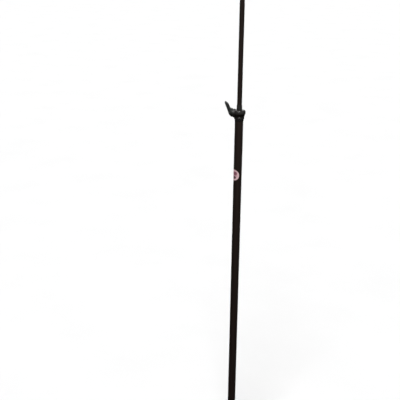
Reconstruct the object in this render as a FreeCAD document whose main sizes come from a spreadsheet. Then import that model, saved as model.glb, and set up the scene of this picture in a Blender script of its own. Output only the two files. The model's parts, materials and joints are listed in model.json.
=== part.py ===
import FreeCAD, Part
import math
import os
import re
import Sketcher

# A two-section telescopic boom pole for a microphone, in millimetres. +Z runs up the pole. The origin
# is the centre of the base face, where the mouth of the base thread lies. A clamping lever on the -X
# side of the collar presses a shoe against the thin tube, so that it slides, turns and stays put.

# the driving sizes: the word that the formulas use, its value and what it measures
SIZES = [
    ("outer_tube_length", 1080.0, "thick tube, from the foot ring to its upper end"),
    ("outer_tube_diameter", 22.2, "outside of the thick tube"),
    ("outer_tube_wall", 1.5, "wall of the thick tube"),
    ("inner_tube_length", 1107.5, "whole thin tube"),
    ("inner_tube_diameter", 12.7, "outside of the thin tube"),
    ("inner_tube_wall", 1.0, "wall of the thin tube"),
    ("inner_tube_exposed", 501.7, "thin tube that stands out of the collar as stored"),
    ("slide_clearance", 0.08, "radial running clearance of the thin tube and its guides"),
    ("screw_clearance", 0.05, "radial running clearance of the two turning threads"),
    ("face_clearance", 0.2, "axial play between pieces that turn on each other"),
    ("foot_ring_height", 2.5, "rubber ring under the thick tube"),
    ("foot_ring_width", 3.5, "rubber ring, from its hole to its rim"),
    ("foot_ring_rounding", 0.8, "lower rim of the rubber ring"),
    ("base_plug_height", 30.0, "plug in the thick tube, from the base face"),
    ("thread_insert_radius", 6.0, "outside of the steel thread insert"),
    ("thread_insert_depth", 18.0, "depth of the thread insert"),
    ("base_thread_radius", 4.0, "core of the 3/8 inch female thread"),
    ("base_pin_radius", 1.5, "cross pin of the base plug"),
    ("base_pin_height", 24.0, "cross pin above the base face"),
    ("pin_shortening", 0.2, "how far each end of a cross pin stays below the tube's skin"),
    ("bumper_height", 4.0, "soft disc on top of the base plug"),
    ("bumper_gap", 1.0, "soft disc's rim to the bore of the thick tube"),
    ("collar_height", 29.3, "clamp collar"),
    ("collar_socket_depth", 11.5, "thick tube inside the collar"),
    ("collar_rim_wall", 0.6, "thin lower rim of the collar"),
    ("collar_rim_height", 3.9, "thin lower rim of the collar"),
    ("collar_band_wall", 2.1, "band of the collar round the thick tube"),
    ("collar_band_start", 5.0, "height where the band reaches its full wall"),
    ("collar_head_wall", 5.2, "head of the collar beyond the thick tube"),
    ("collar_head_low", 19.6, "height where the head reaches its full width"),
    ("collar_head_high", 22.4, "height where the head's shoulder starts"),
    ("collar_shoulder_drop", 1.9, "shoulder's corner below the collar's top"),
    ("collar_shoulder_step", 0.6, "shoulder's corner inside the head's width"),
    ("collar_top_wall", 1.8, "flat top of the collar round the bush"),
    ("collar_rounding", 1.6, "rounded edges of the head"),
    ("collar_shoulder_rounding", 3.0, "rounding of the head's shoulder"),
    ("screw_boss_radius", 9.3, "boss for the clamping screw"),
    ("screw_boss_reach", 5.4, "face of that boss beyond the thick tube's radius"),
    ("screw_height", 22.0, "clamping screw's axis above the collar's lower edge"),
    ("fixing_boss_radius", 5.0, "raised pads for the two fixing screws"),
    ("fixing_boss_rise", 0.7, "raised pads, above the band"),
    ("fixing_screw_height", 6.4, "fixing screws above the collar's lower edge"),
    ("fixing_screw_radius", 1.5, "shank of a fixing screw"),
    ("fixing_head_radius", 3.0, "head of a fixing screw"),
    ("fixing_head_depth", 1.3, "head of a fixing screw"),
    ("fixing_head_rim", 0.78, "straight rim of that head"),
    ("fixing_crown_radius", 1.7, "flat middle of that head"),
    ("fixing_head_sink", 0.5, "how far that head is let into its pad"),
    ("fixing_slot_width", 0.8, "slot of a fixing screw"),
    ("fixing_slot_depth", 0.6, "slot of a fixing screw"),
    ("bush_wall", 2.9, "plastic bush round the thin tube"),
    ("bush_flange_height", 1.5, "flange trapped on the thick tube's end"),
    ("bush_lip_wall", 0.9, "foot of the lip that shows above the collar"),
    ("bush_lip_edge", 0.5, "upper edge of that lip"),
    ("bush_lip_height", 12.7, "lip above the collar"),
    ("glide_ring_height", 30.0, "plastic ring low on the thin tube"),
    ("glide_ring_slot", 1.6, "split of the plastic ring"),
    ("guide_flange_height", 3.0, "flange of the plug under the plastic ring"),
    ("guide_flange_gap", 0.9, "that flange to the bore of the thick tube"),
    ("guide_plug_depth", 22.0, "plug inside the thin tube"),
    ("guide_pin_radius", 1.25, "cross pins in the thin tube"),
    ("guide_pin_depth", 14.0, "cross pins from the thin tube's ends"),
    ("stop_collar_height", 5.0, "ring that ends the stroke"),
    ("tip_plug_depth", 24.0, "tip plug inside the thin tube"),
    ("tip_flange_radius", 7.5, "flange on the thin tube's upper end"),
    ("tip_flange_height", 2.5, "flange on the thin tube's upper end"),
    ("tip_thread_radius", 4.7625, "3/8 inch male thread"),
    ("tip_thread_length", 22.0, "male thread above its flange"),
    ("tip_relief_start", 8.2, "relief groove above the flange"),
    ("tip_relief_width", 1.0, "relief groove"),
    ("tip_relief_depth", 0.6, "relief groove"),
    ("tip_end_chamfer", 1.0, "end of the male thread"),
    ("lock_ring_radius", 9.5, "knurled ring on the male thread"),
    ("lock_ring_height", 6.0, "knurled ring on the male thread"),
    ("lock_ring_chamfer", 0.6, "edges of the knurled ring"),
    ("tip_washer_radius", 8.5, "rubber washer on the knurled ring"),
    ("tip_washer_height", 1.2, "rubber washer on the knurled ring"),
    ("clamp_screw_radius", 4.0, "M8 clamping screw"),
    ("clamp_screw_grip", 6.0, "screw moulded into the lever"),
    ("clamp_screw_grip_wall", 0.8, "knurled part moulded into the lever, beyond the shank"),
    ("shoe_height", 3.0, "pressure shoe, from the thin tube to the screw"),
    ("shoe_pin_radius", 1.4, "pin of the shoe in the screw's end"),
    ("shoe_pin_length", 3.0, "pin of the shoe in the screw's end"),
    ("lever_gap", 0.3, "lever's washer to the boss"),
    ("lever_washer_radius", 8.3, "washer under the lever"),
    ("lever_washer_height", 1.0, "washer under the lever"),
    ("lever_hub_radius", 11.8, "hub of the lever"),
    ("lever_hub_rim", 1.6, "straight rim of the hub"),
    ("lever_hub_depth", 10.0, "hub of the lever"),
    ("lever_shoulder_radius", 9.9, "corner half way over the hub's dome"),
    ("lever_shoulder_depth", 5.3, "that corner above the hub's inner face"),
    ("lever_face_radius", 3.6, "flat end of the hub"),
    ("lever_hub_rounding", 2.5, "corners of the hub's dome"),
    ("lever_lean", 23.0, "how far the arm leans outwards, in degrees"),
    ("lever_root_depth", 5.1, "arm's middle on the screw's axis, above the hub's inner face"),
    ("lever_arm_length", 32.5, "from the screw's axis to the arm's end, along the arm"),
    ("lever_root_width", 7.0, "half the arm's width in the hub"),
    ("lever_root_thickness", 3.4, "half the arm's thickness in the hub"),
    ("lever_neck_width", 5.8, "half the arm's width beside the hub"),
    ("lever_neck_thickness", 4.3, "half the arm's thickness beside the hub"),
    ("lever_tip_width", 4.8, "half the arm's width before its rounded end"),
    ("lever_tip_thickness", 3.7, "half the arm's thickness before its rounded end"),
    ("lever_end_width", 2.8, "half the arm's width at its very end"),
    ("lever_end_thickness", 2.0, "half the arm's thickness at its very end"),
    ("label_diameter", 30.0, "round label, measured along the skin"),
    ("label_thickness", 0.12, "round label"),
    ("label_drop", 169.3, "centre of the label below the clamping screw"),
    ("label_turn", 210.0, "direction that the label faces, in degrees from +X"),
]

# the places and radii that follow from the driving sizes
DERIVED = {
    "outer_radius": "(outer_tube_diameter / 2)",
    "outer_bore": "(outer_radius - outer_tube_wall)",
    "inner_radius": "(inner_tube_diameter / 2)",
    "inner_bore": "(inner_radius - inner_tube_wall)",
    "plug_neck": "(outer_radius - foot_ring_width)",
    "tube_end": "(foot_ring_height + outer_tube_length)",
    "collar_foot": "(tube_end - collar_socket_depth)",
    "collar_top": "(collar_foot + collar_height)",
    "collar_band": "(outer_radius + collar_band_wall)",
    "collar_head": "(outer_radius + collar_head_wall)",
    "screw_boss_face": "(outer_radius + screw_boss_reach)",
    "clamp_height": "(collar_foot + screw_height)",
    "fixing_pad_face": "(collar_band + fixing_boss_rise)",
    "fixing_head_seat": "(fixing_pad_face - fixing_head_sink)",
    "bush_bore": "(inner_radius + slide_clearance)",
    "bush_radius": "(bush_bore + bush_wall)",
    "bush_height": "(collar_height - collar_socket_depth)",
    "inner_foot": "(collar_top + inner_tube_exposed - inner_tube_length)",
    "inner_end": "(collar_top + inner_tube_exposed)",
    "guide_radius": "(outer_bore - guide_flange_gap)",
    "glide_foot": "(inner_foot + face_clearance)",
    "stop_foot": "(glide_foot + glide_ring_height + face_clearance)",
    "tip_foot": "(inner_end + tip_flange_height)",
    "lock_ring_foot": "(tip_foot + face_clearance)",
    "tip_washer_foot": "(lock_ring_foot + lock_ring_height)",
    "shoe_face": "(inner_radius + slide_clearance)",
    "shoe_back": "(shoe_face + shoe_height)",
    "screw_tip": "(shoe_back + screw_clearance)",
    "lever_washer_foot": "(screw_boss_face + lever_gap)",
    "lever_foot": "(lever_washer_foot + lever_washer_height)",
    "lever_crown": "(lever_foot + lever_hub_depth)",
    "screw_end": "(lever_foot + clamp_screw_grip)",
    "screw_hole": "(clamp_screw_radius + screw_clearance)",
    "screw_grip": "(clamp_screw_radius + clamp_screw_grip_wall)",
}

ALIASES = {size[0] for size in SIZES}


def formula(text):
    """Write a formula that uses the names above as an expression on the sheet."""

    def spell(match):
        word = match.group()
        if word in DERIVED:
            return formula(DERIVED[word])
        if word in ALIASES:
            return "Sizes." + word
        return word

    return re.sub(r"[a-z_]+", spell, text)


def make_sheet(doc):
    sheet = doc.addObject("Spreadsheet::Sheet", "Sizes")
    for row, (alias, value, words) in enumerate(SIZES, start=1):
        sheet.set(f"A{row}", alias)
        sheet.set(f"B{row}", str(value))
        sheet.set(f"C{row}", words)
        sheet.setAlias(f"B{row}", alias)
    doc.recompute()


def bind(thing, name, text):
    thing.setExpression(name, formula(text))


def number(sheet, text):
    """Work out a formula's value from the sheet."""
    values = {alias: getattr(sheet, alias) for alias in ALIASES}
    plain = re.sub(r"Sizes\.([a-z_]+)", lambda match: repr(float(values[match.group(1)])), formula(text))
    return float(FreeCAD.Units.Quantity(plain).Value)


def new_body(doc, node):
    body = doc.addObject("PartDesign::Body", node)
    body.Label = node
    return body


def raise_to(thing, height):
    """Place a piece modelled upright at its height on the pole."""
    bind(thing, "Placement.Base.z", height)


def turn_to_lever(thing):
    """Place a piece modelled along +Z on the clamping screw's axis, so that it points to -X."""
    thing.Placement = FreeCAD.Placement(
        FreeCAD.Vector(0, 0, 0), FreeCAD.Rotation(FreeCAD.Vector(0, 1, 0), -90)
    )
    bind(thing, "Placement.Base.z", "clamp_height")


def new_sketch(body, name, role):
    """Make a sketch on one of the body's own origin planes."""
    sketch = body.newObject("Sketcher::SketchObject", name)
    plane = [feature for feature in body.Origin.OriginFeatures if feature.Role == role][0]
    sketch.AttachmentSupport = [(plane, "")]
    sketch.MapMode = "FlatFace"
    return sketch


def fix_point(sketch, geometry, point, name, place):
    """Hold a point of the sketch at a place given by two formulas."""
    sheet = sketch.Document.getObject("Sizes")
    for axis, line, text in zip(("DistanceX", "DistanceY"), (-2, -1), place):
        if text == "0":
            sketch.addConstraint(Sketcher.Constraint("PointOnObject", geometry, point, line))
            continue
        constraint = Sketcher.Constraint(axis, -1, 1, geometry, point, number(sheet, text))
        label = f"{name}_{axis[-1].lower()}"
        sketch.renameConstraint(sketch.addConstraint(constraint), label)
        bind(sketch, f"Constraints.{label}", text)


def rounded_corner(before, corner, after, radius):
    """Return the first, middle and last point of the arc that rounds a corner."""
    back = (before - corner).normalize()
    on = (after - corner).normalize()
    half = back.getAngle(on) / 2
    centre = corner + (back + on).normalize() * (radius / math.sin(half))
    reach = radius / math.tan(half)
    middle = centre + (corner - centre).normalize() * radius
    return corner + back * reach, middle, corner + on * reach


def draw_outline(sketch, corners):
    """Draw a closed outline through corners given by formulas: across, up and perhaps a rounding."""
    sheet = sketch.Document.getObject("Sizes")
    spots = [FreeCAD.Vector(number(sheet, one[0]), number(sheet, one[1]), 0) for one in corners]
    arcs = {}
    for index, corner in enumerate(corners):
        if len(corner) == 3:
            after = spots[(index + 1) % len(spots)]
            radius = number(sheet, corner[2])
            arcs[index] = rounded_corner(spots[index - 1], spots[index], after, radius)
    for index, spot in enumerate(spots):
        after = (index + 1) % len(spots)
        start = arcs[index][2] if index in arcs else spot
        end = arcs[after][0] if after in arcs else spots[after]
        sketch.addGeometry(Part.LineSegment(start, end), False)
    for index, corner in enumerate(corners):
        arriving = (index - 1) % len(corners)
        if index not in arcs:
            sketch.addConstraint(Sketcher.Constraint("Coincident", arriving, 2, index, 1))
            fix_point(sketch, index, 1, f"corner{index}", corner)
            continue
        arc = sketch.addGeometry(Part.Arc(*arcs[index]), False)
        first, last = (1, 2) if sketch.getPoint(arc, 1).isEqual(arcs[index][0], 1e-6) else (2, 1)
        sketch.addConstraint(Sketcher.Constraint("Tangent", arriving, 2, arc, first))
        sketch.addConstraint(Sketcher.Constraint("Tangent", index, 1, arc, last))
        point = sketch.addGeometry(Part.Point(spots[index]), True)
        fix_point(sketch, point, 1, f"corner{index}", corner)
        sketch.addConstraint(Sketcher.Constraint("PointOnObject", point, 1, arriving))
        sketch.addConstraint(Sketcher.Constraint("PointOnObject", point, 1, index))
        label = f"rounding{index}"
        constraint = Sketcher.Constraint("Radius", arc, number(sheet, corner[2]))
        sketch.renameConstraint(sketch.addConstraint(constraint), label)
        bind(sketch, f"Constraints.{label}", corner[2])


def draw_circle(sketch, radius, place=("0", "0")):
    """Draw a circle whose radius and centre are formulas."""
    circle = Part.Circle(FreeCAD.Vector(1, 1, 0), FreeCAD.Vector(0, 0, 1), 5)
    index = sketch.addGeometry(circle, False)
    fix_point(sketch, index, 3, f"centre{index}", place)
    label = f"radius{index}"
    constraint = sketch.addConstraint(Sketcher.Constraint("Radius", index, 5.0))
    sketch.renameConstraint(constraint, label)
    bind(sketch, f"Constraints.{label}", radius)


def revolve(body, corners):
    """Turn an outline of radius and height pairs round the body's Z axis."""
    sketch = new_sketch(body, body.Name + "_profile", "XZ_Plane")
    draw_outline(sketch, corners)
    turned = body.newObject("PartDesign::Revolution", body.Name + "_turned")
    turned.Profile = sketch
    turned.ReferenceAxis = (sketch, ["V_Axis"])
    turned.Angle = 360
    return turned


def extrude(body, name, kind, sketch, length, both_ways=False, backwards=False):
    """Pad or pocket a sketch by a length given as a formula."""
    feature = body.newObject("PartDesign::" + kind, name)
    feature.Profile = sketch
    bind(feature, "Length", length)
    feature.Midplane = both_ways
    feature.Reversed = backwards
    return feature


def drill_across(body, name, radius, height):
    """Drill a hole along Y right through the body, at a height in the body's own frame."""
    sketch = new_sketch(body, name + "_sketch", "XZ_Plane")
    draw_circle(sketch, radius, ("0", height))
    return extrude(body, name, "Pocket", sketch, "4 * outer_tube_diameter", both_ways=True)


def make_outer_tube(doc):
    """Thick tube, cut to length, with the holes for its fixing screws and the base pin."""
    body = new_body(doc, "outer_tube")
    sketch = new_sketch(body, "outer_tube_section", "XY_Plane")
    draw_circle(sketch, "outer_radius")
    draw_circle(sketch, "outer_bore")
    extrude(body, "outer_tube_wall_pad", "Pad", sketch, "outer_tube_length")
    drill_across(body, "outer_tube_pin_hole", "base_pin_radius", "base_pin_height - foot_ring_height")
    height = "collar_foot + fixing_screw_height - foot_ring_height"
    drill_across(body, "outer_tube_screw_holes", "fixing_screw_radius", height)
    raise_to(body, "foot_ring_height")
    return body


def make_clamp_collar(doc):
    """Die-cast collar: socket for the thick tube, wide head, boss for the screw, two fixing pads."""
    body = new_body(doc, "clamp_collar")
    shoulder = "collar_height - collar_shoulder_drop"
    revolve(body, [
        ("outer_radius", "0"),
        ("outer_radius + collar_rim_wall", "0"),
        ("outer_radius + collar_rim_wall", "collar_rim_height"),
        ("collar_band", "collar_band_start", "collar_rounding"),
        ("collar_band", "collar_socket_depth", "collar_shoulder_rounding"),
        ("collar_head", "collar_head_low", "collar_rounding"),
        ("collar_head", "collar_head_high", "collar_rounding"),
        ("collar_head - collar_shoulder_step", shoulder, "collar_shoulder_rounding"),
        ("bush_radius + collar_top_wall", "collar_height"),
        ("bush_radius", "collar_height"),
        ("bush_radius", "collar_socket_depth + bush_flange_height"),
        ("outer_radius", "collar_socket_depth + bush_flange_height"),
    ])

    boss = new_sketch(body, "collar_screw_boss_sketch", "YZ_Plane")
    bind(boss, "AttachmentOffset.Base.z", "-screw_boss_face")
    draw_circle(boss, "screw_boss_radius", ("0", "screw_height"))
    extrude(body, "collar_screw_boss", "Pad", boss, "screw_boss_face - bush_radius - 1")

    for name, side in (("front", 1), ("back", -1)):
        pad = new_sketch(body, f"collar_pad_{name}_sketch", "XZ_Plane")
        bind(pad, "AttachmentOffset.Base.z", f"{side} * (outer_radius + 1)")
        draw_circle(pad, "fixing_boss_radius", ("0", "fixing_screw_height"))
        reach = "collar_band_wall + fixing_boss_rise - 1"
        extrude(body, f"collar_pad_{name}", "Pad", pad, reach, backwards=side < 0)
        seat = new_sketch(body, f"collar_seat_{name}_sketch", "XZ_Plane")
        bind(seat, "AttachmentOffset.Base.z", f"{side} * fixing_head_seat")
        draw_circle(seat, "fixing_head_radius", ("0", "fixing_screw_height"))
        extrude(body, f"collar_seat_{name}", "Pocket", seat, "2 * fixing_head_sink", backwards=side > 0)
    drill_across(body, "collar_screw_holes", "fixing_screw_radius", "fixing_screw_height")

    hole = new_sketch(body, "collar_clamp_hole_sketch", "YZ_Plane")
    bind(hole, "AttachmentOffset.Base.z", "-screw_boss_face")
    draw_circle(hole, "screw_hole", ("0", "screw_height"))
    extrude(body, "collar_clamp_hole", "Pocket", hole, "screw_boss_face", backwards=True)
    raise_to(body, "collar_foot")
    return body


def make_guide_bush(doc):
    """Plastic bush: a flange trapped on the thick tube's end and a lip that shows above the collar."""
    body = new_body(doc, "guide_bush")
    revolve(body, [
        ("bush_bore", "0"),
        ("outer_radius", "0"),
        ("outer_radius", "bush_flange_height"),
        ("bush_radius", "bush_flange_height"),
        ("bush_radius", "bush_height"),
        ("bush_bore + bush_lip_wall", "bush_height"),
        ("bush_bore + bush_lip_edge", "bush_height + bush_lip_height"),
        ("bush_bore", "bush_height + bush_lip_height"),
    ])
    window = new_sketch(body, "bush_window_sketch", "YZ_Plane")
    draw_circle(window, "screw_hole", ("0", "screw_height - collar_socket_depth"))
    extrude(body, "bush_window", "Pocket", window, "outer_radius")
    raise_to(body, "tube_end")
    return body


def make_collar_screws(doc):
    """Two slotted screws that hold the collar to the thick tube, one in front and one behind."""
    body = new_body(doc, "collar_screw")
    body.Label = "one_collar_screw"
    revolve(body, [
        ("0", "outer_bore"),
        ("fixing_screw_radius", "outer_bore"),
        ("fixing_screw_radius", "fixing_head_seat"),
        ("fixing_head_radius", "fixing_head_seat"),
        ("fixing_head_radius", "fixing_head_seat + fixing_head_rim"),
        ("fixing_crown_radius", "fixing_head_seat + fixing_head_depth"),
        ("0", "fixing_head_seat + fixing_head_depth"),
    ])
    slot = new_sketch(body, "collar_screw_slot_sketch", "XZ_Plane")
    top = "fixing_head_seat + fixing_head_depth"
    draw_outline(slot, [
        ("-fixing_slot_width / 2", f"{top} - fixing_slot_depth"),
        ("fixing_slot_width / 2", f"{top} - fixing_slot_depth"),
        ("fixing_slot_width / 2", f"{top} + fixing_slot_depth"),
        ("-fixing_slot_width / 2", f"{top} + fixing_slot_depth"),
    ])
    extrude(body, "collar_screw_slot", "Pocket", slot, "4 * fixing_head_radius", both_ways=True)
    body.Placement.Rotation = FreeCAD.Rotation(FreeCAD.Vector(1, 0, 0), 90)
    mirror = doc.addObject("Part::Mirroring", "collar_screw_behind")
    mirror.Source = body
    mirror.Normal = FreeCAD.Vector(0, 1, 0)
    pair = doc.addObject("Part::Compound", "collar_screws")
    pair.Links = [body, mirror]
    pair.Label = "collar_screws"
    raise_to(pair, "collar_foot + fixing_screw_height")
    return pair


def make_base_plug(doc):
    """Turned plug pressed into the thick tube's foot, with a socket for the thread insert."""
    body = new_body(doc, "base_plug")
    revolve(body, [
        ("thread_insert_radius", "0"),
        ("plug_neck", "0"),
        ("plug_neck", "foot_ring_height"),
        ("outer_bore", "foot_ring_height"),
        ("outer_bore", "base_plug_height"),
        ("0", "base_plug_height"),
        ("0", "thread_insert_depth"),
        ("thread_insert_radius", "thread_insert_depth"),
    ])
    drill_across(body, "base_plug_pin_hole", "base_pin_radius", "base_pin_height")
    return body


def make_thread_insert(doc):
    """Steel insert whose female thread holds a stand's stud; its mouth is the base face."""
    body = new_body(doc, "base_thread_insert")
    revolve(body, [
        ("base_thread_radius", "0"),
        ("thread_insert_radius", "0"),
        ("thread_insert_radius", "thread_insert_depth"),
        ("base_thread_radius", "thread_insert_depth"),
    ])
    return body


def make_foot_ring(doc):
    """Rubber ring round the plug's neck, which the pole is set down on."""
    body = new_body(doc, "foot_ring")
    revolve(body, [
        ("plug_neck", "0"),
        ("outer_radius", "0", "foot_ring_rounding"),
        ("outer_radius", "foot_ring_height"),
        ("plug_neck", "foot_ring_height"),
    ])
    return body


def make_cross_pin(doc, node, radius, tube_radius, height):
    """Steel pin through a tube and the plug in it, just short of the tube's skin."""
    pin = doc.addObject("Part::Cylinder", node)
    pin.Label = node
    bind(pin, "Radius", radius)
    bind(pin, "Height", f"2 * ({tube_radius} - pin_shortening)")
    pin.Placement.Rotation = FreeCAD.Rotation(FreeCAD.Vector(1, 0, 0), 90)
    bind(pin, "Placement.Base.y", f"{tube_radius} - pin_shortening")
    raise_to(pin, height)
    return pin


def make_base_bumper(doc):
    """Soft disc on the base plug that ends the thin tube's way down."""
    disc = doc.addObject("Part::Cylinder", "base_bumper")
    disc.Label = "base_bumper"
    bind(disc, "Radius", "outer_bore - bumper_gap")
    bind(disc, "Height", "bumper_height")
    raise_to(disc, "base_plug_height")
    return disc


def make_label(doc):
    """Round label wrapped on the thick tube: a disc drawn in the skin's own angle and height."""
    sheet = doc.getObject("Sizes")
    radius = number(sheet, "outer_radius")
    reach = number(sheet, "label_diameter / 2")
    skin = Part.Cylinder()
    skin.Radius = radius
    middle = 3.0  # radians round the skin, away from its seam
    point = FreeCAD.Base.Vector2d
    top = point(middle, reach)
    side = point(middle - reach / radius, 0)
    outline = Part.Geom2d.Ellipse2d(top, side, point(middle, 0))
    face = Part.Face(skin, Part.Wire([outline.toShape(skin)]))
    label = doc.addObject("Part::Feature", "label")
    label.Label = "label"
    label.Shape = face.makeOffsetShape(number(sheet, "label_thickness"), 1e-4, fill=True)
    turn = number(sheet, "label_turn") - math.degrees(middle)
    height = number(sheet, "clamp_height - label_drop")
    label.Placement = FreeCAD.Placement(
        FreeCAD.Vector(0, 0, height), FreeCAD.Rotation(FreeCAD.Vector(0, 0, 1), turn)
    )
    return label


def make_inner_tube(doc):
    """Thin tube with a cross hole near each end for the plugs' pins."""
    body = new_body(doc, "inner_tube")
    sketch = new_sketch(body, "inner_tube_section", "XY_Plane")
    draw_circle(sketch, "inner_radius")
    draw_circle(sketch, "inner_bore")
    extrude(body, "inner_tube_wall_pad", "Pad", sketch, "inner_tube_length")
    drill_across(body, "inner_tube_lower_hole", "guide_pin_radius", "guide_pin_depth")
    upper = "inner_tube_length - guide_pin_depth"
    drill_across(body, "inner_tube_upper_hole", "guide_pin_radius", upper)
    raise_to(body, "inner_foot")
    return body


def make_guide_plug(doc):
    """Plug in the thin tube's foot, whose flange carries the split ring."""
    body = new_body(doc, "guide_plug")
    revolve(body, [
        ("0", "0"),
        ("guide_radius", "0"),
        ("guide_radius", "guide_flange_height"),
        ("inner_bore", "guide_flange_height"),
        ("inner_bore", "guide_flange_height + guide_plug_depth"),
        ("0", "guide_flange_height + guide_plug_depth"),
    ])
    drill_across(body, "guide_plug_hole", "guide_pin_radius", "guide_flange_height + guide_pin_depth")
    raise_to(body, "inner_foot - guide_flange_height")
    return body


def make_ring(doc, node, outside, bore, length, height):
    """Plain ring: a pad between two circles."""
    body = new_body(doc, node)
    sketch = new_sketch(body, node + "_section", "XY_Plane")
    draw_circle(sketch, outside)
    draw_circle(sketch, bore)
    extrude(body, node + "_pad", "Pad", sketch, length)
    raise_to(body, height)
    return body


def make_glide_ring(doc):
    """Split plastic ring that runs in the thick tube and lets the thin tube turn inside it."""
    bore = "inner_radius + slide_clearance"
    body = make_ring(doc, "glide_ring", "outer_bore - slide_clearance", bore,
                     "glide_ring_height", "glide_foot")
    slot = new_sketch(body, "glide_ring_slot", "XZ_Plane")
    draw_outline(slot, [
        ("-glide_ring_slot / 2", "-1"),
        ("glide_ring_slot / 2", "-1"),
        ("glide_ring_slot / 2", "glide_ring_height + 1"),
        ("-glide_ring_slot / 2", "glide_ring_height + 1"),
    ])
    extrude(body, "glide_ring_split", "Pocket", slot, "outer_radius", backwards=True)
    return body


def make_stop_collar(doc):
    """Ring pressed on the thin tube above the split ring; it meets the bush at full length."""
    return make_ring(doc, "stop_collar", "guide_radius", "inner_radius",
                     "stop_collar_height", "stop_foot")


def make_tip_stud(doc):
    """Turned stud in the thin tube's top, with a relief groove across its male thread."""
    body = new_body(doc, "tip_stud")
    flange = "tip_plug_depth + tip_flange_height"
    groove = flange + " + tip_relief_start"
    end = flange + " + tip_thread_length"
    revolve(body, [
        ("0", "0"),
        ("inner_bore", "0"),
        ("inner_bore", "tip_plug_depth"),
        ("tip_flange_radius", "tip_plug_depth"),
        ("tip_flange_radius", flange),
        ("tip_thread_radius", flange),
        ("tip_thread_radius", groove),
        ("tip_thread_radius - tip_relief_depth", groove),
        ("tip_thread_radius - tip_relief_depth", groove + " + tip_relief_width"),
        ("tip_thread_radius", groove + " + tip_relief_width"),
        ("tip_thread_radius", end + " - tip_end_chamfer"),
        ("tip_thread_radius - tip_end_chamfer", end),
        ("0", end),
    ])
    drill_across(body, "tip_stud_hole", "guide_pin_radius", "tip_plug_depth - guide_pin_depth")
    raise_to(body, "inner_end - tip_plug_depth")
    return body


def make_lock_ring(doc):
    """Knurled ring that is screwed up against the microphone's clip to lock it."""
    body = new_body(doc, "tip_lock_ring")
    bore = "tip_thread_radius + screw_clearance"
    revolve(body, [
        (bore, "0"),
        ("lock_ring_radius - lock_ring_chamfer", "0"),
        ("lock_ring_radius", "lock_ring_chamfer"),
        ("lock_ring_radius", "lock_ring_height - lock_ring_chamfer"),
        ("lock_ring_radius - lock_ring_chamfer", "lock_ring_height"),
        (bore, "lock_ring_height"),
    ])
    raise_to(body, "lock_ring_foot")
    return body


def make_tip_washer(doc):
    """Rubber washer that lies on the knurled ring."""
    return make_ring(doc, "tip_washer", "tip_washer_radius", "tip_thread_radius + face_clearance",
                     "tip_washer_height", "tip_washer_foot")


def make_pressure_shoe(doc):
    """Shoe hollowed to the thin tube, with a pin that the clamping screw turns on."""
    body = new_body(doc, "pressure_shoe")
    revolve(body, [
        ("0", "0.5 * shoe_face"),
        ("clamp_screw_radius", "0.5 * shoe_face"),
        ("clamp_screw_radius", "shoe_back"),
        ("shoe_pin_radius", "shoe_back"),
        ("shoe_pin_radius", "shoe_back + shoe_pin_length"),
        ("0", "shoe_back + shoe_pin_length"),
    ])
    hollow = new_sketch(body, "shoe_hollow_sketch", "YZ_Plane")
    draw_circle(hollow, "shoe_face")
    extrude(body, "shoe_hollow", "Pocket", hollow, "4 * shoe_face", both_ways=True)
    turn_to_lever(body)
    return body


def make_clamp_screw(doc):
    """M8 screw with a socket for the shoe's pin and a thicker grip inside the lever."""
    body = new_body(doc, "clamp_screw")
    socket = "shoe_pin_radius + screw_clearance"
    depth = "shoe_back + shoe_pin_length + face_clearance"
    revolve(body, [
        (socket, "screw_tip"),
        ("clamp_screw_radius", "screw_tip"),
        ("clamp_screw_radius", "lever_foot"),
        ("screw_grip", "lever_foot"),
        ("screw_grip", "screw_end"),
        ("0", "screw_end"),
        ("0", depth),
        (socket, depth),
    ])
    turn_to_lever(body)
    return body


def make_lever_washer(doc):
    """Steel washer under the lever's hub."""
    body = new_body(doc, "lever_washer")
    revolve(body, [
        ("clamp_screw_radius", "lever_washer_foot"),
        ("lever_washer_radius", "lever_washer_foot"),
        ("lever_washer_radius", "lever_foot"),
        ("clamp_screw_radius", "lever_foot"),
    ])
    turn_to_lever(body)
    return body


def draw_arm_section(body, name, reach, width, thickness):
    """Draw a rounded slot across the arm, at a distance along its middle line."""
    sketch = new_sketch(body, name, "XY_Plane")
    sketch.AttachmentOffset.Rotation = FreeCAD.Rotation(FreeCAD.Vector(0, 1, 0), 45)
    bind(sketch, "AttachmentOffset.Rotation.Angle", "90 - lever_lean")
    bind(sketch, "AttachmentOffset.Base.x", f"({reach}) * cos(lever_lean * 1 deg)")
    middle = "lever_foot + lever_root_depth"
    bind(sketch, "AttachmentOffset.Base.z", f"{middle} + ({reach}) * sin(lever_lean * 1 deg)")
    up = FreeCAD.Vector(0, 0, 1)
    for centre, start in ((3, 0), (-3, math.pi)):
        circle = Part.Circle(FreeCAD.Vector(0, centre, 0), up, 2)
        sketch.addGeometry(Part.ArcOfCircle(circle, start, start + math.pi), False)
    right = Part.LineSegment(FreeCAD.Vector(2, -3, 0), FreeCAD.Vector(2, 3, 0))
    left = Part.LineSegment(FreeCAD.Vector(-2, 3, 0), FreeCAD.Vector(-2, -3, 0))
    sketch.addGeometry(right, False)
    sketch.addGeometry(left, False)
    for arc, end, line, start in ((0, 1, 2, 2), (0, 2, 3, 1), (1, 1, 3, 2), (1, 2, 2, 1)):
        sketch.addConstraint(Sketcher.Constraint("Tangent", arc, end, line, start))
    sketch.addConstraint(Sketcher.Constraint("Equal", 0, 1))
    sketch.addConstraint(Sketcher.Constraint("Symmetric", 0, 3, 1, 3, -1, 1))
    fix_point(sketch, 0, 3, "centre", ("0", f"{width} - {thickness}"))
    rounding = sketch.addConstraint(Sketcher.Constraint("Radius", 0, 2.0))
    sketch.renameConstraint(rounding, "rounding")
    bind(sketch, "Constraints.rounding", thickness)
    return sketch


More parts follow.
